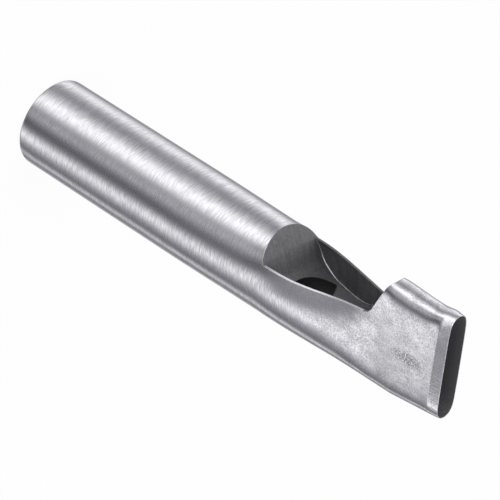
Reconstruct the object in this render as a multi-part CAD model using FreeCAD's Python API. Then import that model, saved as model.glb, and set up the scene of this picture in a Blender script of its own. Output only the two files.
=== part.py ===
"""Hollow punch for oblong holes, one forged steel body.

Millimetres. The origin is the centre of the struck face and +Z runs along the
shank to the cutting edge. The window opens to -Y, the flanks face +X and -X.
Places along the head are counted back from the cutting edge, so a longer punch
has a longer shank and the same head.
"""
import FreeCAD, Part
from FreeCAD import Vector
import math
import os

os.makedirs("parts", exist_ok=True)

# Overall and shank
LENGTH = 103.3
HEAD_LEN = 65.3
SHANK_R = 9.0
STRUCK_EDGE_R = 0.95

# Cutting slot at the mouth
SLOT_LONG = 22.0
SLOT_WIDE = 4.4
SLOT_OFFSET = 2.15
EDGE_LAND = 0.12
BEVEL_LEN = 1.9

# Blade behind the bevel: wall at the flanks, ridge and heel
FLANK_WALL = 0.9
FLANK_THICKEN = 0.25
RIDGE_WALL = 0.1
BELLY_PROUD = 1.05
HEEL_WALL = 0.1

# Where each change of the outside starts and ends, back from the edge
EASE_SPAN = (65.3, 41.3)
EASE_IN = 0.3
PRESS_SPAN = (46.3, 14.3)
RIDGE_SPAN = (45.3, 16.3)
BELLY_SPAN = (43.3, 16.3)
HEEL_SPAN = (12.3, 0.8)

# Window cut straight across
RIM_DEPTH = 3.7
BACK_WALL = 40.57
BACK_SLOPE = 0.445
FRONT_WALL = 17.54
FRONT_SLOPE = 0.37
WINDOW_CORNER_R = 1.8
LIP_RISE = 2.1
LIP_RUN = 2.3
LIP_BULGE = 0.5

# Slug scoop between the rims
RIM_WALL = 0.5
SCOOP_DEPTH = 5.7
SCOOP_BACK_R = 6.0
SCOOP_FRONT_R = 10.0
SCOOP_FLAT_END = 27.3
SCOOP_SPAN = (49.57, 9.54)

# Cavity: a drilled bore, pressed to the slot's shape towards the mouth
BORE_R = 5.3
BORE_TIP = 37.7
BORE_FULL = 31.9
TIP_FLAT_R = 1.2
TIP_STEPS = 5
TIP_CROWDING = 1.4
CAVITY_WALL = 1.05
THROAT_GAIN = 0.05
THROAT = 3.8
PRESSED_FROM = 8.8
THROAT_RIDGE_WALL = 0.95
THROAT_HEEL_WALL = 0.75

# Spacing of the rings, and how far the cuts run past the metal
STATION_GAP = 3.2
CLEAR = 0.2
CUT_WIDTH = 2.0 * SHANK_R + 6.0
CUT_REACH = 16.0
MOUTH_REACH = 1.0


def at(back):
    """Height of a place given by its distance back from the cutting edge."""
    return LENGTH - back


def ease(back, span):
    """Smooth 0 to 1 from the start of a span to its end."""
    u = min(max((span[0] - back) / (span[0] - span[1]), 0.0), 1.0)
    return u * u * (3.0 - 2.0 * u)


def ramp(back, span):
    """Straight 0 to 1 from the start of a span to its end."""
    return min(max((span[0] - back) / (span[0] - span[1]), 0.0), 1.0)


def outside(back):
    """Half width, ridge and heel of the forged outside at one place."""
    blade_half = SLOT_WIDE / 2.0 + FLANK_WALL
    ridge = SLOT_LONG / 2.0 + SLOT_OFFSET + RIDGE_WALL
    heel = SLOT_LONG / 2.0 - SLOT_OFFSET + HEEL_WALL
    pressed = SHANK_R - EASE_IN - blade_half - FLANK_THICKEN
    half = SHANK_R - EASE_IN * ease(back, EASE_SPAN) - pressed * ease(back, PRESS_SPAN)
    half -= FLANK_THICKEN * ease(back, (PRESS_SPAN[1], BEVEL_LEN))
    top = SHANK_R + (ridge - SHANK_R) * ease(back, RIDGE_SPAN)
    belly = SHANK_R + BELLY_PROUD
    bottom = SHANK_R + BELLY_PROUD * ease(back, BELLY_SPAN) - (belly - heel) * ramp(back, HEEL_SPAN)
    return half, top, bottom


def cavity(back):
    """Half width, top and bottom of the cavity at one place."""
    throat_half, throat_top, throat_bottom = throat()
    half = min(max(outside(back)[0] - CAVITY_WALL, throat_half), BORE_R)
    grow = ease(back, (BORE_FULL, PRESSED_FROM))
    return half, BORE_R + (throat_top - BORE_R) * grow, BORE_R + (throat_bottom - BORE_R) * grow


def throat():
    """Half width, top and bottom of the cavity just behind the mouth."""
    ridge, heel = outside(THROAT)[1:]
    return SLOT_WIDE / 2.0 + THROAT_GAIN, ridge - THROAT_RIDGE_WALL, heel - THROAT_HEEL_WALL


def mouth(land):
    """Half width, top and bottom of the slot, or of the edge's outside with a land."""
    long_half = SLOT_LONG / 2.0
    return SLOT_WIDE / 2.0 + land, long_half + SLOT_OFFSET + land, long_half - SLOT_OFFSET + land


def ring(back, half, top, bottom):
    """Closed wire of four tangent arcs: round ends at heel and ridge, nearly flat flanks."""
    tall = max((top + bottom) / 2.0, half)
    cy = (bottom - top) / 2.0
    turn = math.radians(90.0 - 45.0 * (half / tall) ** 2)
    c, s = math.cos(turn), math.sin(turn)
    end_r = (half * c - tall * (1.0 - s)) / (s + c - 1.0)
    flank_r = (half - end_r * s) / (1.0 - s)
    join_x, join_y = end_r * s, flank_r * c
    z = at(back)

    def arc(x0, y0, x1, y1, x2, y2):
        ends = [Vector(x0, cy + y0, z), Vector(x1, cy + y1, z), Vector(x2, cy + y2, z)]
        return Part.Arc(*ends).toShape()

    return Part.Wire([
        arc(-join_x, join_y, 0, tall, join_x, join_y),
        arc(join_x, join_y, half, 0, join_x, -join_y),
        arc(join_x, -join_y, 0, -tall, -join_x, -join_y),
        arc(-join_x, -join_y, -half, 0, -join_x, join_y),
    ])


def places(start, end):
    """Evenly spaced places between two distances back from the edge, ends included."""
    count = max(1, int(round(abs(start - end) / STATION_GAP)))
    return [start + (end - start) * i / count for i in range(count + 1)]


def inset_ring(back, inset):
    """Ring of the outside, moved inwards by a wall."""
    half, top, bottom = outside(back)
    return ring(back, half - inset, top - inset, bottom - inset)


def make_shank():
    """Turned bar with its struck edge rounded over."""
    top_z = at(HEAD_LEN)
    inner = SHANK_R - STRUCK_EDGE_R
    step = STRUCK_EDGE_R * math.sqrt(0.5)
    low = Vector(inner, 0, 0)
    middle = Vector(inner + step, 0, STRUCK_EDGE_R - step)
    high = Vector(SHANK_R, 0, STRUCK_EDGE_R)
    outline = Part.Wire([
        Part.makeLine(Vector(0, 0, 0), low),
        Part.Arc(low, middle, high).toShape(),
        Part.makeLine(high, Vector(SHANK_R, 0, top_z)),
        Part.makeLine(Vector(SHANK_R, 0, top_z), Vector(0, 0, top_z)),
        Part.makeLine(Vector(0, 0, top_z), Vector(0, 0, 0)),
    ])
    turned = Part.Face(outline).revolve(Vector(0, 0, 0), Vector(0, 0, 1), 360)
    turned.rotate(Vector(0, 0, 0), Vector(0, 0, 1), 45.0)
    return turned


def make_head():
    """Forged head from the round bar to the blade, and the bevel ground on its edge."""
    rings = [ring(HEAD_LEN, SHANK_R, SHANK_R, SHANK_R)]
    rings += [inset_ring(back, 0.0) for back in places(HEAD_LEN, BEVEL_LEN)[1:]]
    head = Part.makeLoft(rings, True, True)
    bevel = Part.makeLoft([rings[-1], ring(0.0, *mouth(EDGE_LAND))], True, True)
    return [head, bevel]


def rounded(before, corner, after, radius):
    """Start, middle and end of the arc that rounds a corner."""
    a = (before - corner).normalize()
    b = (after - corner).normalize()
    half_angle = math.acos(a.dot(b)) / 2.0
    run = radius / math.tan(half_angle)
    bisector = (a + b).normalize()
    middle = corner + bisector * (radius / math.sin(half_angle) - radius)
    return corner + a * run, middle, corner + b * run


def across(outline):
    """Solid that a closed outline at X = 0 sweeps from one side to the other."""
    face = Part.Face(Part.Wire(outline))
    face.translate(Vector(-CUT_WIDTH / 2.0, 0, 0))
    return face.extrude(Vector(CUT_WIDTH, 0, 0))


def make_window():
    """Cut across the body with sloping ends, rounded corners and a softened lip."""
    rim_y = RIM_DEPTH - SHANK_R
    ridge_y = -outside(FRONT_WALL)[1]
    back_foot = Vector(0, rim_y, at(BACK_WALL))
    back_top = Vector(0, -CUT_REACH, at(BACK_WALL) - BACK_SLOPE * (CUT_REACH + rim_y))
    front_foot = Vector(0, rim_y, at(FRONT_WALL))
    lip_y = ridge_y + LIP_RISE
    lip_low = Vector(0, lip_y, at(FRONT_WALL) + FRONT_SLOPE * (rim_y - lip_y))
    lip_high = Vector(0, ridge_y - CLEAR, lip_low.z + LIP_RUN)
    chord = lip_high - lip_low
    lip_mid = (lip_low + lip_high) * 0.5 + Vector(0, -chord.z, chord.y).normalize() * LIP_BULGE
    far_top = Vector(0, -CUT_REACH, lip_high.z)
    p, pm, q = rounded(back_top, back_foot, front_foot, WINDOW_CORNER_R)
    r, rm, s = rounded(back_foot, front_foot, lip_low, WINDOW_CORNER_R)
    return across([
        Part.makeLine(back_top, p),
        Part.Arc(p, pm, q).toShape(),
        Part.makeLine(q, r),
        Part.Arc(r, rm, s).toShape(),
        Part.makeLine(s, lip_low),
        Part.Arc(lip_low, lip_mid, lip_high).toShape(),
        Part.makeLine(lip_high, far_top),
        Part.makeLine(far_top, back_top),
    ])


def make_scoop():
    """Milled trough between thin rims, which carries the window's sloping back wall on down."""
    rim_y = RIM_DEPTH - SHANK_R
    floor_y = rim_y + SCOOP_DEPTH
    top_y = rim_y - CLEAR
    fillet_y = rim_y - WINDOW_CORNER_R
    slope = math.atan(BACK_SLOPE)
    flat_z = at(SCOOP_FLAT_END)
    front_angle = math.acos(1.0 - (floor_y - top_y) / SCOOP_FRONT_R)

    def on_wall(y):
        return Vector(0, y, at(BACK_WALL) + BACK_SLOPE * (y - rim_y))

    def on_front(angle):
        drop = SCOOP_FRONT_R * (1.0 - math.cos(angle))
        return Vector(0, floor_y - drop, flat_z + SCOOP_FRONT_R * math.sin(angle))

    back_start = on_wall(floor_y - SCOOP_BACK_R * (1.0 - math.sin(slope)))
    centre = back_start + Vector(0, -math.sin(slope), math.cos(slope)) * SCOOP_BACK_R
    middle = (slope + math.pi / 2.0) / 2.0
    back_mid = centre + Vector(0, math.sin(middle), -math.cos(middle)) * SCOOP_BACK_R
    floor_start = centre + Vector(0, SCOOP_BACK_R, 0)
    floor_end = on_front(0.0)
    front_end = on_front(front_angle)
    trough = across([
        Part.makeLine(on_wall(fillet_y), back_start),
        Part.Arc(back_start, back_mid, floor_start).toShape(),
        Part.makeLine(floor_start, floor_end),
        Part.Arc(floor_end, on_front(front_angle / 2.0), front_end).toShape(),
        Part.makeLine(front_end, on_wall(fillet_y)),
    ])
    walls = [inset_ring(back, RIM_WALL) for back in places(*SCOOP_SPAN)]
    return trough.common(Part.makeLoft(walls, True, True))


def make_cavity():
    """Stepped drill tip, the pressed bore in front of it and the slot at the mouth."""
    outline = [Vector(0, 0, at(BORE_TIP))]
    for i in range(TIP_STEPS + 1):
        back = BORE_TIP + (BORE_FULL - BORE_TIP) * (i / TIP_STEPS) ** TIP_CROWDING
        left = (back - BORE_FULL) / (BORE_TIP - BORE_FULL)
        radius = TIP_FLAT_R + (BORE_R - TIP_FLAT_R) * math.sqrt(max(0.0, 1.0 - left * left))
        outline.append(Vector(radius, 0, at(back)))
    outline += [Vector(0, 0, at(BORE_FULL)), outline[0]]
    tip = Part.Face(Part.makePolygon(outline)).revolve(Vector(0, 0, 0), Vector(0, 0, 1), 360)
    tip.rotate(Vector(0, 0, 0), Vector(0, 0, 1), 45.0)
    throat_ring = ring(THROAT, *throat())
    rings = [ring(BORE_FULL, BORE_R, BORE_R, BORE_R)]
    rings += [ring(back, *cavity(back)) for back in places(BORE_FULL, THROAT)[1:-1]]
    rings.append(throat_ring)
    bore = Part.makeLoft(rings, True, True)
    mouth_ring = ring(0.0, *mouth(0.0))
    flare = Part.makeLoft([throat_ring, mouth_ring], True, True)
    beyond = Part.Face(mouth_ring).extrude(Vector(0, 0, MOUTH_REACH))
    return tip.fuse([bore, flare, beyond])


body = make_shank().fuse(make_head())
punch_body = body.cut([make_window(), make_scoop(), make_cavity()])
solids = punch_body.Solids
punch_body = solids[0]
print("solids", len(solids), "valid", punch_body.isValid(), "faces", len(punch_body.Faces))
print("volume", round(punch_body.Volume, 1), "mm3")
punch_body.exportStep("parts/punch_body.step")
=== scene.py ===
"""Hollow punch for oblong holes: forged tool steel, bright shank, hollow blade, slug window.

The scene is in metres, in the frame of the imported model, and the punch's own sizes are written in
mm. +Z runs from the struck face to the cutting edge, the window opens to -Y and the thin blade's
flanks face +X and -X.
"""
import bpy
import math

import numpy as np
from mathutils import Matrix, Vector


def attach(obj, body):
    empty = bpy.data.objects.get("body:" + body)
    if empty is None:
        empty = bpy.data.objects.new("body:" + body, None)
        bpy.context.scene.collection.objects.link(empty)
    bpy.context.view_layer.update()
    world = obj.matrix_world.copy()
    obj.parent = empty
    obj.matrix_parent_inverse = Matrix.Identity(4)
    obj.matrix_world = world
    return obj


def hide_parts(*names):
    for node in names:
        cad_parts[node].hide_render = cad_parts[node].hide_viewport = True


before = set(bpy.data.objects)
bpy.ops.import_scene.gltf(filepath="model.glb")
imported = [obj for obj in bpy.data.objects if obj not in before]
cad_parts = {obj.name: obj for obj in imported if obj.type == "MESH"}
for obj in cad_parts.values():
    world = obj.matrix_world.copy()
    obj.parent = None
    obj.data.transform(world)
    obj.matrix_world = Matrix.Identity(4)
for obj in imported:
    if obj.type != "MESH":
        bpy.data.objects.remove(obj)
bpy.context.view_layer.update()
scene = bpy.context.scene
scene.view_settings.view_transform = "Standard"

# Camera: a long lens, well back, that looks down on the window from its near side. Its place and
# its three directions were fitted to the outlines of the punch.
CAMERA_PLACE = Vector((0.41555, -0.37191, 0.4108))
CAMERA_RIGHT = Vector((-0.69924, -0.1008, 0.70774))
CAMERA_UP = Vector((-0.34316, -0.82117, -0.45599))
CAMERA_BACK = Vector((0.62714, -0.56172, 0.53961))
NUDGE_RIGHT, NUDGE_UP = 0.00013, -0.00011
lens = bpy.data.cameras.new("camera")
lens.sensor_width = 36.0
lens.lens = 259.2
lens.clip_end = 5.0
camera = bpy.data.objects.new("camera", lens)
camera_place = CAMERA_PLACE + NUDGE_RIGHT * CAMERA_RIGHT + NUDGE_UP * CAMERA_UP
camera_turn = Matrix((CAMERA_RIGHT, CAMERA_UP, CAMERA_BACK)).transposed()
camera.matrix_world = Matrix.Translation(camera_place) @ camera_turn.to_4x4()
scene.collection.objects.link(camera)
scene.camera = camera

# Bench: a pale floor under the struck end. It shows white to the camera and keeps the punch's
# shadow. Only metal sees past it, to the ring of soft boxes and flags that stands round the bench.
BENCH_HALF = 4.0
BENCH_GREY = (0.85, 0.85, 0.85, 1)
BENCH_WHITE = 0.93


def combine(tree, operation, *values):
    """Math node on value sockets and numbers."""
    node = tree.nodes.new("ShaderNodeMath")
    node.operation = operation
    for i, value in enumerate(values):
        if isinstance(value, (int, float)):
            node.inputs[i].default_value = value
        else:
            tree.links.new(value, node.inputs[i])
    return node.outputs[0]


def either(tree, share, first, second):
    """Mix of two shaders. A share of 1 is the second alone."""
    node = tree.nodes.new("ShaderNodeMixShader")
    for source, socket in zip((share, first, second), node.inputs):
        tree.links.new(source, socket)
    return node.outputs[0]


bench_mesh = bpy.data.meshes.new("bench")
corners = [(BENCH_HALF * x, BENCH_HALF * y, 0.0) for x, y in ((-1, -1), (1, -1), (1, 1), (-1, 1))]
bench_mesh.from_pydata(corners, [], [(0, 1, 2, 3)])
bench = bpy.data.objects.new("bench", bench_mesh)
scene.collection.objects.link(bench)
bench.visible_glossy = False
pale = bpy.data.materials.new("pale_bench")
pale.use_nodes = True
tree = pale.node_tree
tree.nodes.clear()
matt = tree.nodes.new("ShaderNodeBsdfDiffuse")
matt.inputs["Color"].default_value = BENCH_GREY
white = tree.nodes.new("ShaderNodeEmission")
white.inputs["Strength"].default_value = 1.0
rays = tree.nodes.new("ShaderNodeLightPath")
seen = combine(tree, "MAXIMUM", rays.outputs["Is Camera Ray"], rays.outputs["Is Glossy Ray"])
seen = combine(tree, "MAXIMUM", seen, rays.outputs["Is Transmission Ray"])
bench_finish = either(tree, combine(tree, "MULTIPLY", seen, BENCH_WHITE), matt.outputs[0], white.outputs[0])
out = tree.nodes.new("ShaderNodeOutputMaterial")
tree.links.new(bench_finish, out.inputs["Surface"])
bench_mesh.materials.append(pale)

# Studio: soft boxes and dark flags round the bench, as brightness by compass bearing in degrees. The
# metal mirrors them as bands, and all else gets an even light. Those between the far side and the
# near side lean over towards the top, and the lean fades out at both sides.
BEARINGS = [
    (-180, 0.42), (-172, 0.57), (-158, 0.78), (-149, 0.70), (-137, 0.41), (-118, 0.23),
    (-104, 0.36), (-95, 0.52), (-85, 0.80), (-75, 0.95), (-66, 0.86), (-57, 0.57),
    (-48, 0.27), (-38, 0.26), (-29, 0.31), (-19, 0.17), (-8, 0.065), (2, 0.10),
    (10, 0.25), (18, 0.55), (28, 0.82), (36, 0.64), (46, 0.33), (62, 0.14),
    (73, 0.16), (84, 0.58), (96, 0.10), (116, 0.34), (140, 0.40), (171, 0.17),
]
RING_LOW, RING_HIGH = 1.3, 3.1
EVEN_LIGHT = 0.9
BLUE_OF_DARK, BRIGHTEST = 0.05, 0.95
LEAN_FROM, LEAN_TO, LEAN = -0.5, 0.1, math.radians(-50.0)
NEAR_SIDE, NEAR_SHARE = (math.radians(30.0), math.radians(52.0)), 1.15
FAR_SIDE = (math.radians(-110.0), math.radians(-20.0))


def between(tree, value, low, high, start, end, smooth=False):
    """Maps a value socket from low..high to start..end."""
    node = tree.nodes.new("ShaderNodeMapRange")
    if smooth:
        node.interpolation_type = "SMOOTHSTEP"
    for title, number in (("From Min", low), ("From Max", high), ("To Min", start), ("To Max", end)):
        node.inputs[title].default_value = number
    tree.links.new(value, node.inputs["Value"])
    return node.outputs["Result"]


world = bpy.data.worlds.new("studio")
scene.world = world
world.use_nodes = True
tree = world.node_tree
tree.nodes.clear()
toward = tree.nodes.new("ShaderNodeTexCoord")
axes = tree.nodes.new("ShaderNodeSeparateXYZ")
tree.links.new(toward.outputs["Generated"], axes.inputs[0])
bearing = combine(tree, "ARCTAN2", axes.outputs["Y"], axes.outputs["X"])
lean = between(tree, axes.outputs["Z"], LEAN_FROM, LEAN_TO, 0.0, LEAN)
near_side = between(tree, bearing, *NEAR_SIDE, NEAR_SHARE, 0.0)
far_side = between(tree, bearing, *FAR_SIDE, 0.0, 1.0)
leant = combine(tree, "MULTIPLY_ADD", lean, combine(tree, "MULTIPLY", near_side, far_side), bearing)
share_of_circle = combine(tree, "MULTIPLY_ADD", leant, 0.5 / math.pi, 0.5)
boxes = tree.nodes.new("ShaderNodeValToRGB")
tree.links.new(share_of_circle, boxes.inputs["Fac"])
boxes.color_ramp.interpolation = "CARDINAL"
ramp = boxes.color_ramp.elements
while len(ramp) > 1:
    ramp.remove(ramp[0])
for i, (degrees, level) in enumerate(BEARINGS):
    stop = ramp[0] if i == 0 else ramp.new(1.0)
    stop.position = degrees / 360.0 + 0.5
    blue = 1.0 + BLUE_OF_DARK * math.log(max(BRIGHTEST / level, 1.0))
    stop.color = (level, 0.99 * level, blue * level, 1)
last = ramp.new(1.0)
last.color = ramp[0].color
ring_light = tree.nodes.new("ShaderNodeBackground")
tree.links.new(boxes.outputs["Color"], ring_light.inputs["Color"])
higher = between(tree, axes.outputs["Z"], -1.0, 1.0, RING_LOW, RING_HIGH)
tree.links.new(higher, ring_light.inputs["Strength"])
even_light = tree.nodes.new("ShaderNodeBackground")
even_light.inputs["Strength"].default_value = EVEN_LIGHT
camera_white = tree.nodes.new("ShaderNodeBackground")
camera_white.inputs["Strength"].default_value = 1.0
rays = tree.nodes.new("ShaderNodeLightPath")
light = either(tree, rays.outputs["Is Glossy Ray"], even_light.outputs[0], ring_light.outputs[0])
light = either(tree, rays.outputs["Is Camera Ray"], light, camera_white.outputs[0])
out = tree.nodes.new("ShaderNodeOutputWorld")
tree.links.new(light, out.inputs["Surface"])

# Overhead soft box: a round lamp over the bench, for the faint shadow round the struck end. The
# metal doesn't mirror it.
overhead = bpy.data.lights.new("overhead", "AREA")
overhead.shape = "DISK"
overhead.size = 0.6
overhead.energy = 3.0
lamp = bpy.data.objects.new("overhead", overhead)
lamp.location = (0.1, -0.15, 0.9)
lamp.rotation_euler = Vector((0.1, -0.15, 0.85)).to_track_quat("Z", "Y").to_euler()
lamp.visible_glossy = False
scene.collection.objects.link(lamp)

# Forged blank: round tool-steel bar, its far end forged over a mandrel into a tall thin blade. It
# is a stack of rings, closer together where the form changes, closed at the struck face and the edge.
LENGTH = 103.3
SHANK_R = 9.0
STRUCK_EDGE_R = 0.6
SLOT_LONG, SLOT_WIDE, SLOT_OFFSET = 22.0, 4.4, 2.15
EDGE_LAND = 0.12
BEVEL_START = 101.4
FACE_RADII = (2.0, 4.5, 7.0)
SHANK_FROM, SHANK_TO, NECK_TO = 3.0, 38.0, 58.0
SHANK_STEP, NECK_STEP = 2.5, 1.0
STRUCK_EDGE_RINGS, BLADE_RINGS, BEVEL_RINGS = 9, 142, 6
AROUND, FINE_AROUND = 224, 1441
# What the forging changes along the bar, each as (amount, from z, to z)
HALF_FORGED = [(-0.6, 38.0, 64.0), (-5.05, 62.5, 89.0), (-0.25, 89.0, BEVEL_START)]
RIDGE_FORGED = [(4.0, 58.0, 85.0), (-0.25, 90.0, 96.0), (0.4, 98.5, BEVEL_START)]
HEEL_FORGED = [(1.03, 60.0, 84.0)]
HEEL_TAPER, TAPER_START, TAPER_RUN = 1.05, 92.0, 10.0
RIDGE_TURN = 1.0, [(0.5, 70.0, 80.0), (-1.2, 83.0, 90.0)]
HEEL_TURN = 0.65, [(-0.45, 77.0, 88.0)]
RIDGE_POWER = 2.0, [(0.3, 82.0, 89.0)]
ROUND_FORM = (0.5, 0.5, 2.0)
EDGE_FORM = (0.2, 0.2, 2.0)


def ease(z, start, end):
    """Smooth step from 0 at start to 1 at end."""
    u = min(max((z - start) / (end - start), 0.0), 1.0)
    return u * u * (3.0 - 2.0 * u)


def formed(z, measure, changes):
    """A measure of the bar after the changes that the forging has made to it by height z."""
    for amount, start, end in changes:
        measure += amount * ease(z, start, end)
    return measure


def outside(z):
    """Half width, ridge and heel of the forged outside at one height, in mm."""
    taper = HEEL_TAPER * min(max((z - TAPER_START) / TAPER_RUN, 0.0), 1.0)
    half = formed(z, SHANK_R, HALF_FORGED)
    return half, formed(z, SHANK_R, RIDGE_FORGED), formed(z, SHANK_R, HEEL_FORGED) - taper


def flanks(z):
    """How softly a ring turns to the ridge and to the heel, and how square the ridge is (2 is round)."""
    return formed(z, *RIDGE_TURN), formed(z, *HEEL_TURN), formed(z, *RIDGE_POWER)


def ring(half, ridge, heel, count, form=ROUND_FORM):
    """Evenly spaced points of a ring, from the ridge round. Low softness makes straight flanks."""
    tall = max((ridge + heel) / 2.0, half)
    turn = np.linspace(0.0, 2.0 * np.pi, FINE_AROUND)
    c = -np.cos(turn)
    soft = np.where(c < 0, *form[:2])
    power = np.where(c < 0, 2.0 / form[2], 1.0)
    y = (tall - half) * c * np.sqrt((1.0 + soft ** 2) / (c * c + soft ** 2)) + (heel - ridge) / 2.0
    y += half * np.sign(c) * np.abs(c) ** power
    x = half * np.sign(np.sin(turn)) * np.abs(np.sin(turn)) ** power
    run = np.concatenate([[0.0], np.cumsum(np.hypot(np.diff(x), np.diff(y)))])
    steps = np.linspace(0.0, run[-1], count, endpoint=False)
    return np.stack([np.interp(steps, run, x), np.interp(steps, run, y)], axis=1)


def stack(name, rings, start=None):
    """Closed mesh from rings of equal count, each (points, z) in mm. It starts in a pole or a flat cap."""
    count = len(rings[0][0])
    verts = np.concatenate([np.column_stack([xy, np.full(count, z)]) for xy, z in rings]).tolist()
    last_row = (len(rings) - 1) * count
    faces = []
    for low in range(0, last_row, count):
        for i in range(count):
            j = (i + 1) % count
            faces.append((low + i, low + j, low + count + j, low + count + i))
    if start is None:
        faces.append(tuple(range(count - 1, -1, -1)))
    else:
        verts.append(start)
        faces += [(len(verts) - 1, (i + 1) % count, i) for i in range(count)]
    faces.append(tuple(range(last_row, last_row + count)))
    return solid(name, verts, faces)


def solid(name, points, faces):
    """Object with a mesh of points in mm."""
    mesh = bpy.data.meshes.new(name)
    mesh.from_pydata([(0.001 * x, 0.001 * y, 0.001 * z) for x, y, z in points], [], faces)
    piece = bpy.data.objects.new(name, mesh)
    scene.collection.objects.link(piece)
    return piece


rings = [(ring(r, r, r, AROUND), 0.0) for r in FACE_RADII]
for a in np.linspace(0.0, math.pi / 2, STRUCK_EDGE_RINGS):
    r = SHANK_R - STRUCK_EDGE_R * (1.0 - math.sin(a))
    rings.append((ring(r, r, r, AROUND), STRUCK_EDGE_R * (1.0 - math.cos(a))))
heights = [*np.arange(SHANK_FROM, SHANK_TO, SHANK_STEP), *np.arange(SHANK_TO, NECK_TO, NECK_STEP)]
heights += [*np.linspace(NECK_TO, BEVEL_START, BLADE_RINGS)]
rings += [(ring(*outside(z), AROUND, flanks(z)), z) for z in heights]
blade_end = np.array(outside(BEVEL_START))
edge = np.array([SLOT_WIDE / 2, SLOT_LONG / 2 + SLOT_OFFSET, SLOT_LONG / 2 - SLOT_OFFSET])
for i in range(1, BEVEL_RINGS + 1):
    u = i / BEVEL_RINGS
    sizes = blade_end + (edge + EDGE_LAND - blade_end) * u
    form = np.array(flanks(BEVEL_START)) * (1.0 - u) + np.array(EDGE_FORM) * u
    rings.append((ring(*sizes, AROUND, form), BEVEL_START + (LENGTH - BEVEL_START) * u))
punch = stack("punch", rings, start=(0.0, 0.0, 0.0))

# Slug cavity: drilled from the edge with a round-nosed drill, then pressed with the blade to the
# slot's shape and broached at the mouth.
BORE_R, BORE_TIP, BORE_FULL = 5.9, 65.8, 70.2
PRESSED_Z, THROAT_SOFT_Z, THROAT_Z = 94.5, 94.0, 99.5
FLANK_WALL, RIDGE_WALL, HEEL_WALL = 1.05, 0.95, 0.75
THROAT_PLAY = 0.05
BORE_SOFT, THROAT_SOFT, MOUTH_SOFT = 0.6, 0.4, 0.2
NOSE_RINGS, BORE_RINGS, MOUTH_RINGS = 14, 80, 8
PAST_EDGE = 1.0
CAVITY_AROUND = 144
_, throat_ridge, throat_heel = outside(THROAT_Z)
throat = np.array([SLOT_WIDE / 2 + THROAT_PLAY, throat_ridge - RIDGE_WALL, throat_heel - HEEL_WALL])


def cavity(z):
    """Half width, ridge side and heel side of the bore at one height, in mm."""
    half = min(max(outside(z)[0] - FLANK_WALL, throat[0]), BORE_R)
    grow = ease(z, BORE_FULL, PRESSED_Z)
    return half, BORE_R + (throat[1] - BORE_R) * grow, BORE_R + (throat[2] - BORE_R) * grow


rings = []
for i in range(1, NOSE_RINGS + 1):
    a = i / NOSE_RINGS * math.pi / 2
    r = BORE_R * math.sin(a)
    rings.append((ring(r, r, r, CAVITY_AROUND), BORE_FULL - (BORE_FULL - BORE_TIP) * math.cos(a)))
for z in np.linspace(BORE_FULL, THROAT_Z, BORE_RINGS + 1)[1:]:
    soft = BORE_SOFT - (BORE_SOFT - THROAT_SOFT) * ease(z, THROAT_SOFT_Z, THROAT_Z)
    rings.append((ring(*cavity(z), CAVITY_AROUND, (soft, soft, 2.0)), z))
for i in range(1, MOUTH_RINGS + 1):
    u = i / MOUTH_RINGS
    soft = THROAT_SOFT - (THROAT_SOFT - MOUTH_SOFT) * u
    mouth = throat + (edge - throat) * u
    rings.append((ring(*mouth, CAVITY_AROUND, (soft, soft, 2.0)), THROAT_Z + (LENGTH - THROAT_Z) * u))
rings.append((ring(*edge, CAVITY_AROUND, EDGE_FORM), LENGTH + PAST_EDGE))
bore = stack("bore", rings, start=(0.0, 0.0, BORE_TIP))

# Window: milled straight across the flattened bar, with sloping ends and small inside corners. The
# end under the ridge is rounded over, so that slugs slide out.
RIM_Y = -5.3
RIM_DIP = [(64.6, 0.55), (70.0, 0.55), (72.0, 0.47), (74.0, 0.39), (76.0, 0.26), (78.0, 0.15), (80.0, 0.03)]
BACK_FOOT, BACK_SLOPE, BACK_CORNER_R = 62.73, 0.445, 0.8
FRONT_FOOT, FRONT_SLOPE, CORNER_R = 85.76, 0.37, 1.8
RIDGE_Y = -13.25
LIP_DEPTH, LIP_PAST, LIP_RISE, LIP_BULGE, LIP_STEPS = 2.1, 0.2, 2.3, 0.5, 12
CLEAR_Y, WINDOW_HALF = -25.0, 14.0


def fillet(before, corner, after, radius, steps=8):
    """Points of the arc that rounds a corner, in the (y, z) plane."""
    before, corner, after = (Vector(p) for p in (before, corner, after))
    a, b = (before - corner).normalized(), (after - corner).normalized()
    half_angle = a.angle(b) / 2.0
    centre = corner + (a + b).normalized() * (radius / math.sin(half_angle))
    first_point = corner + a * (radius / math.tan(half_angle))
    last_point = corner + b * (radius / math.tan(half_angle))
    u, v = first_point - centre, last_point - centre
    sweep = u.angle(v)
    return [tuple(centre + (u * math.sin(sweep * (1 - k / steps)) + v * math.sin(sweep * k / steps))
                  / math.sin(sweep)) for k in range(steps + 1)]


def across(name, outline, half_width):
    """Closed prism of a (y, z) outline, swept from -half_width to +half_width along x."""
    count = len(outline)
    area = sum(y * next_z - next_y * z
               for (y, z), (next_y, next_z) in zip(outline, outline[1:] + outline[:1]))
    if area < 0:
        outline = outline[::-1]
    points = [(x, y, z) for x in (-half_width, half_width) for y, z in outline]
    faces = [tuple(range(count - 1, -1, -1)), tuple(range(count, 2 * count))]
    faces += [(i, (i + 1) % count, count + (i + 1) % count, count + i) for i in range(count)]
    return solid(name, points, faces)


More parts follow.
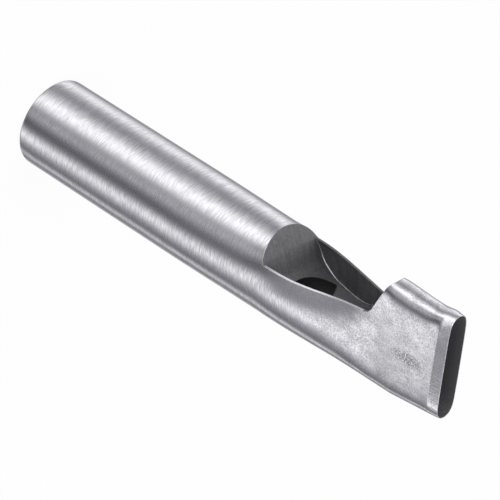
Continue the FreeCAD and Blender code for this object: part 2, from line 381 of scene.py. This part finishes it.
foot_dip = RIM_DIP[0][1]
back_foot = (RIM_Y + foot_dip, BACK_FOOT + BACK_SLOPE * foot_dip)
front_foot = (RIM_Y, FRONT_FOOT)
back_top = (CLEAR_Y, BACK_FOOT + BACK_SLOPE * (CLEAR_Y - RIM_Y))
lip_y = RIDGE_Y + LIP_DEPTH
lip_low = (lip_y, FRONT_FOOT + FRONT_SLOPE * (RIM_Y - lip_y))
lip_high = (RIDGE_Y - LIP_PAST, lip_low[1] + LIP_RISE)
chord = Vector(lip_high) - Vector(lip_low)
bulge = Vector((-chord.y, chord.x)).normalized() * LIP_BULGE
lip = []
for k in range(1, LIP_STEPS):
    u = k / LIP_STEPS
    lip.append(tuple(Vector(lip_low) + chord * u + bulge * (4 * u * (1 - u))))
outline = [back_top] + fillet(back_top, back_foot, (back_foot[0], FRONT_FOOT), BACK_CORNER_R)
outline += [(RIM_Y + dip, z) for z, dip in RIM_DIP]
outline += fillet((RIM_Y, RIM_DIP[-1][0]), front_foot, lip_low, CORNER_R)
outline += [lip_low] + lip + [lip_high, (CLEAR_Y, lip_high[1])]
window = across("window", outline, WINDOW_HALF)

# Scoop: the same cutter goes on between the rims, down into the drilled bore. It carries the
# sloping back wall on into a long trough, and leaves thin walls that follow the outside.
RIM_WALL = 0.5
SCOOP_PATH = [
    (-3.6, 63.4), (-1.2, 64.4), (-0.1, 65.5), (0.65, 67.1), (1.1, 68.8), (1.2, 70.6), (1.1, 72.8),
    (0.85, 75.2), (0.4, 77.4), (-0.2, 79.2), (-1.2, 81.1), (-2.6, 83.2), (-4.2, 85.3), (-5.6, 86.8),
]
SCOOP_END = (-6.8, 88.0)
SCOOP_LOW, SCOOP_HIGH, SCOOP_RINGS, SCOOP_AROUND = 55.0, 94.0, 131, 160
TROUGH_HALF, TROUGH_STEPS = 12.0, 5


def inner_wall(z, count):
    """Ring of the rims' inner side at one height."""
    return ring(*(np.array(outside(z)) - RIM_WALL), count, flanks(z))


scoop = stack("scoop", [(inner_wall(z, SCOOP_AROUND), z)
                        for z in np.linspace(SCOOP_LOW, SCOOP_HIGH, SCOOP_RINGS)])
outline = [(RIM_Y - CORNER_R, BACK_FOOT - BACK_SLOPE * CORNER_R), back_foot]
# A smooth curve through the points of the cutter's path
cutter_path = np.array([back_foot, *SCOOP_PATH, SCOOP_END])
for before, start, end, after in zip(cutter_path, cutter_path[1:], cutter_path[2:], cutter_path[3:]):
    for u in np.linspace(0.0, 1.0, TROUGH_STEPS + 1)[:-1]:
        bend = (end - before) * u + (2 * before - 5 * start + 4 * end - after) * u * u
        outline.append(tuple(start + 0.5 * (bend + (3 * start - before - 3 * end + after) * u ** 3)))
trough = across("trough", outline, TROUGH_HALF)

# Burr: the fine raised edge that the scoop's cutter leaves along the foot of each rim's wall. It is
# steel too, and its near-white colour is a painted highlight on top of the light that the ridge
# catches. Its thickness wanders along its length. The lengths that its tree takes are in metres.
BURR_INPUTS = [
    ("Burr Radius", "NodeSocketFloat", 0.00011),
    ("Wander Length", "NodeSocketFloat", 0.0015),
    ("Seed", "NodeSocketInt", 3),
    ("Steel", "NodeSocketMaterial", None),
]
BURR_SIDES, THINNEST, THICKEST = 8, 0.55, 1.25
BURR_END, BURR_STEP, BURR_SUNK, WALL_AROUND = 87.0, 0.3, 0.04, 720
# The burr's near-white grey is a painted highlight, brighter than the steel's own colour
BURR_HIGHLIGHT_GREY = (0.95, 0.95, 0.96, 1)


def steel(name, metallic, roughness):
    """Steel finish. Returns its material, its node tree and its shader."""
    finish = bpy.data.materials.new(name)
    finish.use_nodes = True
    shader = finish.node_tree.nodes["Principled BSDF"]
    shader.inputs["Metallic"].default_value = metallic
    shader.inputs["Roughness"].default_value = roughness
    return finish, finish.node_tree, shader


tree = bpy.data.node_groups.new("cutter_burr", "GeometryNodeTree")
tree.interface.new_socket("Geometry", in_out="INPUT", socket_type="NodeSocketGeometry")
inputs = {}
for title, kind, value in BURR_INPUTS:
    socket = tree.interface.new_socket(title, in_out="INPUT", socket_type=kind)
    inputs[title] = socket.identifier
    if value is not None:
        socket.default_value = value
tree.interface.new_socket("Geometry", in_out="OUTPUT", socket_type="NodeSocketGeometry")
given, result = tree.nodes.new("NodeGroupInput"), tree.nodes.new("NodeGroupOutput")
line = tree.nodes.new("GeometryNodeMeshToCurve")
place = tree.nodes.new("GeometryNodeInputPosition")
wander = tree.nodes.new("ShaderNodeTexNoise")
wander.noise_dimensions = "4D"
varied = tree.nodes.new("GeometryNodeSetCurveRadius")
section = tree.nodes.new("GeometryNodeCurvePrimitiveCircle")
section.inputs["Resolution"].default_value = BURR_SIDES
tube = tree.nodes.new("GeometryNodeCurveToMesh")
tube.inputs["Fill Caps"].default_value = True
smooth = tree.nodes.new("GeometryNodeSetShadeSmooth")
shape = tree.nodes.new("GeometryNodeRealizeInstances")
coat = tree.nodes.new("GeometryNodeSetMaterial")
fineness = combine(tree, "DIVIDE", 1.0, given.outputs["Wander Length"])
thickness = between(tree, wander.outputs["Fac"], 0.3, 0.7, THINNEST, THICKEST)
for source, socket in (
        (given.outputs["Geometry"], line.inputs["Mesh"]),
        (fineness, wander.inputs["Scale"]),
        (given.outputs["Seed"], wander.inputs["W"]),
        (place.outputs[0], wander.inputs["Vector"]),
        (line.outputs["Curve"], varied.inputs["Curve"]),
        (thickness, varied.inputs["Radius"]),
        (given.outputs["Burr Radius"], section.inputs["Radius"]),
        (varied.outputs["Curve"], tube.inputs["Curve"]),
        (section.outputs["Curve"], tube.inputs["Profile Curve"]),
        (thickness, tube.inputs["Scale"]),
        (tube.outputs["Mesh"], smooth.inputs["Geometry"]),
        (smooth.outputs["Geometry"], shape.inputs["Geometry"]),
        (shape.outputs["Geometry"], coat.inputs["Geometry"]),
        (given.outputs["Steel"], coat.inputs["Material"]),
        (coat.outputs["Geometry"], result.inputs["Geometry"])):
    tree.links.new(source, socket)

foot = []
for y, z in outline:
    if RIM_Y <= y and z < BURR_END:
        wall = inner_wall(z, WALL_AROUND)
        wall = wall[wall[:, 0] >= 0]
        wall = wall[np.argsort(wall[:, 1])]
        foot.append((float(np.interp(y, wall[:, 1], wall[:, 0])), y, z))
dense = []
for start, end in zip(foot, foot[1:]):
    steps = max(1, int(math.dist(start, end) / BURR_STEP))
    dense += [tuple(a + (b - a) * k / steps for a, b in zip(start, end)) for k in range(steps)]
dense.append(foot[-1])
points = [(0.001 * sign * (x - BURR_SUNK), 0.001 * (y - BURR_SUNK), 0.001 * z)
          for sign in (1, -1) for x, y, z in dense]
edges = [(i, i + 1) for i in range(len(points) - 1) if i != len(dense) - 1]
mesh = bpy.data.meshes.new("burr")
mesh.from_pydata(points, edges, [])
burr = bpy.data.objects.new("burr", mesh)
scene.collection.objects.link(burr)
# Burr steel with a painted highlight in its near-white colour
burr_highlight, _, shader = steel("burr_painted_highlight_steel", 1.0, 0.35)
shader.inputs["Base Color"].default_value = BURR_HIGHLIGHT_GREY
maker = burr.modifiers.new("cutter_burr", "NODES")
maker.node_group = tree
maker[inputs["Steel"]] = burr_highlight
mesh = bpy.data.meshes.new_from_object(burr.evaluated_get(bpy.context.evaluated_depsgraph_get()))
burr.modifiers.clear()
burr.data = mesh
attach(burr, "root")

# Steel of the outside: ground bright across the shank, which leaves short scratches round it, and
# polished over the forging's mottled skin on the blade. A patch on each flank, near the edge, keeps
# the pits that the polishing didn't reach. The blade's finish takes over between two heights, in metres.
BLADE_FROM, BLADE_TO = 0.064, 0.086
SCRATCH_SIZE, BAND_SIZE = (1.6, 1.6, 0.16), (2.4, 2.4, 0.3)
MOTTLE_SIZE, CLOUD_SIZE = (0.3, 0.3, 0.3), (2.2, 2.2, 2.2)
DARK_SKIN, LIGHT_SKIN = (0.48, 0.48, 0.49), (0.76, 0.76, 0.775)
PATCH_Y, PATCH_Z, PATCH_WIDE, PATCH_TALL = -0.9, 95.5, 1.9, 5.5
PIT_SIZE, PIT_GREY = (0.32, 0.32, 0.32), (0.3, 0.3, 0.31)
ROUGH_FORGING, PIT_DEPTH = 3.5, 2.5


def height(tree):
    """Object coordinate along the punch's axis, in metres."""
    place = tree.nodes.new("ShaderNodeTexCoord")
    split = tree.nodes.new("ShaderNodeSeparateXYZ")
    tree.links.new(place.outputs["Object"], split.inputs[0])
    return split.outputs["Z"]


def mapped(tree, scale, location=(0.0, 0.0, 0.0)):
    """Object coordinates, scaled and then moved."""
    place = tree.nodes.new("ShaderNodeTexCoord")
    node = tree.nodes.new("ShaderNodeMapping")
    node.inputs["Scale"].default_value = scale
    node.inputs["Location"].default_value = location
    tree.links.new(place.outputs["Object"], node.inputs["Vector"])
    return node.outputs[0]


def grain(tree, size, detail):
    """Noise with grains of the given size along x, y and z, in mm."""
    noise = tree.nodes.new("ShaderNodeTexNoise")
    noise.inputs["Scale"].default_value = 1.0
    noise.inputs["Detail"].default_value = detail
    tree.links.new(mapped(tree, [1000.0 / s for s in size]), noise.inputs["Vector"])
    return noise.outputs["Fac"]


def blend(tree, first, second, share):
    """The given share of the first value and the rest of the second."""
    first = combine(tree, "MULTIPLY", first, share)
    return combine(tree, "ADD", first, combine(tree, "MULTIPLY", second, 1.0 - share))


def mixed(tree, kind, factor, first, second):
    """Mix of two numbers or two colours, each a socket or a grey as (r, g, b)."""
    node = tree.nodes.new("ShaderNodeMix")
    node.data_type = kind
    tree.links.new(factor, node.inputs["Factor"])
    for name, value in (("A", first), ("B", second)):
        if isinstance(value, tuple):
            node.inputs[name].default_value = (*value, 1)
        else:
            tree.links.new(value, node.inputs[name])
    return node.outputs["Result"]


def relief(tree, shader, value, depth, edge):
    """Bump of the given depth in mm, over edges that are broken by a small radius in mm."""
    bump = tree.nodes.new("ShaderNodeBump")
    bump.inputs["Distance"].default_value = 0.001 * depth
    broken = tree.nodes.new("ShaderNodeBevel")
    broken.samples = 6
    broken.inputs["Radius"].default_value = 0.001 * edge
    tree.links.new(value, bump.inputs["Height"])
    tree.links.new(broken.outputs[0], bump.inputs["Normal"])
    tree.links.new(bump.outputs[0], shader.inputs["Normal"])


bright, tree, shader = steel("bright_steel", 1.0, 0.24)
shader.inputs["Anisotropic"].default_value = 0.6
grind_axis = tree.nodes.new("ShaderNodeCombineXYZ")
grind_axis.inputs["Z"].default_value = 1.0
tree.links.new(grind_axis.outputs[0], shader.inputs["Tangent"])
on_blade = between(tree, height(tree), BLADE_FROM, BLADE_TO, 0.0, 1.0, smooth=True)
cloud = grain(tree, CLOUD_SIZE, 3.0)
ground = blend(tree, grain(tree, SCRATCH_SIZE, 2.0), grain(tree, BAND_SIZE, 2.0), 0.85)
forged = blend(tree, grain(tree, MOTTLE_SIZE, 3.0), cloud, 0.65)
ground = between(tree, ground, 0.0, 1.0, 0.1, 0.9)
forged = between(tree, forged, 0.1, 0.9, 0.0, 1.0)
skin = mixed(tree, "FLOAT", on_blade, ground, forged)
away = tree.nodes.new("ShaderNodeVectorMath")
away.operation = "LENGTH"
patch = mapped(tree, (0.0, 1000.0 / PATCH_WIDE, 1000.0 / PATCH_TALL),
               (0.0, -PATCH_Y / PATCH_WIDE, -PATCH_Z / PATCH_TALL))
tree.links.new(patch, away.inputs[0])
pitted = between(tree, away.outputs["Value"], 0.25, 1.0, 1.0, 0.0, smooth=True)
pits = between(tree, grain(tree, PIT_SIZE, 2.0), 0.46, 0.6, 0.0, 1.0)
pits = combine(tree, "MULTIPLY", pits, pitted)
tone = between(tree, skin, 0.36, 0.64, 0.0, 1.0)
sound = mixed(tree, "RGBA", tone, DARK_SKIN, LIGHT_SKIN)
tree.links.new(mixed(tree, "RGBA", pits, sound, PIT_GREY), shader.inputs["Base Color"])
tree.links.new(between(tree, skin, 0.35, 0.65, 0.28, 0.2), shader.inputs["Roughness"])
rough = combine(tree, "MULTIPLY", combine(tree, "MULTIPLY", cloud, on_blade), ROUGH_FORGING)
rough = combine(tree, "SUBTRACT", rough, combine(tree, "MULTIPLY", pits, PIT_DEPTH))
relief(tree, shader, combine(tree, "ADD", skin, rough), 0.009, 0.12)
punch.data.materials.append(bright)

# Steel of the window and the scoop: left dull by the cutter, with its marks across the punch and a
# fine grain between them.
MILL_MARK_SIZE, MILL_GRAIN_SIZE = (0.28, 8.0, 8.0), (0.5, 0.5, 0.5)
DARK_MILLED, LIGHT_MILLED = (0.08, 0.08, 0.085), (0.18, 0.18, 0.188)
milled, tree, shader = steel("milled_steel", 0.3, 0.5)
tone = blend(tree, grain(tree, MILL_MARK_SIZE, 2.0), grain(tree, MILL_GRAIN_SIZE, 4.0), 0.5)
tone = between(tree, tone, 0.3, 0.7, 0.0, 1.0)
tree.links.new(mixed(tree, "RGBA", tone, DARK_MILLED, LIGHT_MILLED), shader.inputs["Base Color"])
relief(tree, shader, tone, 0.02, 0.1)
for cutter in (window, scoop, trough):
    cutter.data.materials.append(milled)

# Steel of the drilled bore: black in the pocket at its round end, which is painted shade, and dull
# further on, darker towards the mouth. The heights are in metres.
POCKET_TOP, DULL_SPAN, DULL_SHARE = (0.0701, 0.0707), (0.078, 0.09), (0.24, 0.11)
DRILLED_GRAIN_SIZE = (0.6, 0.6, 0.3)
# Black of the pocket: painted shade
POCKET_SHADE_BLACK, DRILLED_GREY = (0.01, 0.01, 0.011), (1.0, 1.0, 1.04)
drilled, tree, shader = steel("drilled_steel", 0.15, 0.6)
# Painted shade: the bore is coloured black below this height, in the pocket at its round end
past_pocket_shade = between(tree, height(tree), *POCKET_TOP, 0.0, 1.0, smooth=True)
dull = between(tree, height(tree), *DULL_SPAN, *DULL_SHARE, smooth=True)
tone = combine(tree, "MULTIPLY", past_pocket_shade, dull)
tree.links.new(mixed(tree, "RGBA", tone, POCKET_SHADE_BLACK, DRILLED_GREY), shader.inputs["Base Color"])
relief(tree, shader, grain(tree, DRILLED_GRAIN_SIZE, 3.0), 0.03, 0.1)
bore.data.materials.append(drilled)

# Cutting: the window, the scoop and the bore are taken out of the blank in turn, and the walls that
# each leaves have its own finish. The cut edges stay sharp, and the forged form is shaded smooth.
SHARP_ANGLE = math.radians(18.0)


def cut(piece, tool, operation):
    """Boolean with the exact solver, applied to the mesh, that keeps each tool's own finish."""
    step = piece.modifiers.new("cut", "BOOLEAN")
    step.object = tool
    step.operation = operation
    step.solver = "EXACT"
    step.material_mode = "TRANSFER"
    result = bpy.data.meshes.new_from_object(piece.evaluated_get(bpy.context.evaluated_depsgraph_get()))
    piece.modifiers.clear()
    piece.data = result
    bpy.data.objects.remove(tool)


cut(scoop, trough, "INTERSECT")
for cutter in (window, scoop, bore):
    cut(punch, cutter, "DIFFERENCE")
punch.data.shade_smooth()
punch.data.set_sharp_from_angle(angle=SHARP_ANGLE)

# Rim highlight: the flat top of the near rim has a painted highlight in its colour, less bright
# towards the blade. Its limits are in metres.
RIM_DEPTH, RIM_SPAN = (-0.00545, -0.0046), (0.0636, 0.083)
FADE_FROM, FADE_TO = 0.075, 0.0795
DIM_RIM_HIGHLIGHT, BRIGHT_RIM_HIGHLIGHT = (0.5, 0.5, 0.51), (0.95, 0.95, 0.96)
rim_highlight, tree, shader = steel("rim_painted_highlight", 1.0, 0.35)
# Painted highlight along the rim, dimmer towards the blade
highlight_share = between(tree, height(tree), FADE_FROM, FADE_TO, 1.0, 0.0, smooth=True)
tree.links.new(mixed(tree, "RGBA", highlight_share, DIM_RIM_HIGHLIGHT, BRIGHT_RIM_HIGHLIGHT), shader.inputs["Base Color"])
punch.data.materials.append(rim_highlight)
for face in punch.data.polygons:
    x, y, z = face.center
    on_rim = RIM_DEPTH[0] < y < RIM_DEPTH[1] and RIM_SPAN[0] < z < RIM_SPAN[1]
    near_top = x > 0 and face.normal.y < -0.9
    if on_rim and near_top and punch.data.materials[face.material_index] == milled:
        face.material_index = len(punch.data.materials) - 1

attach(punch, "root")
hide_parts("punch_body")
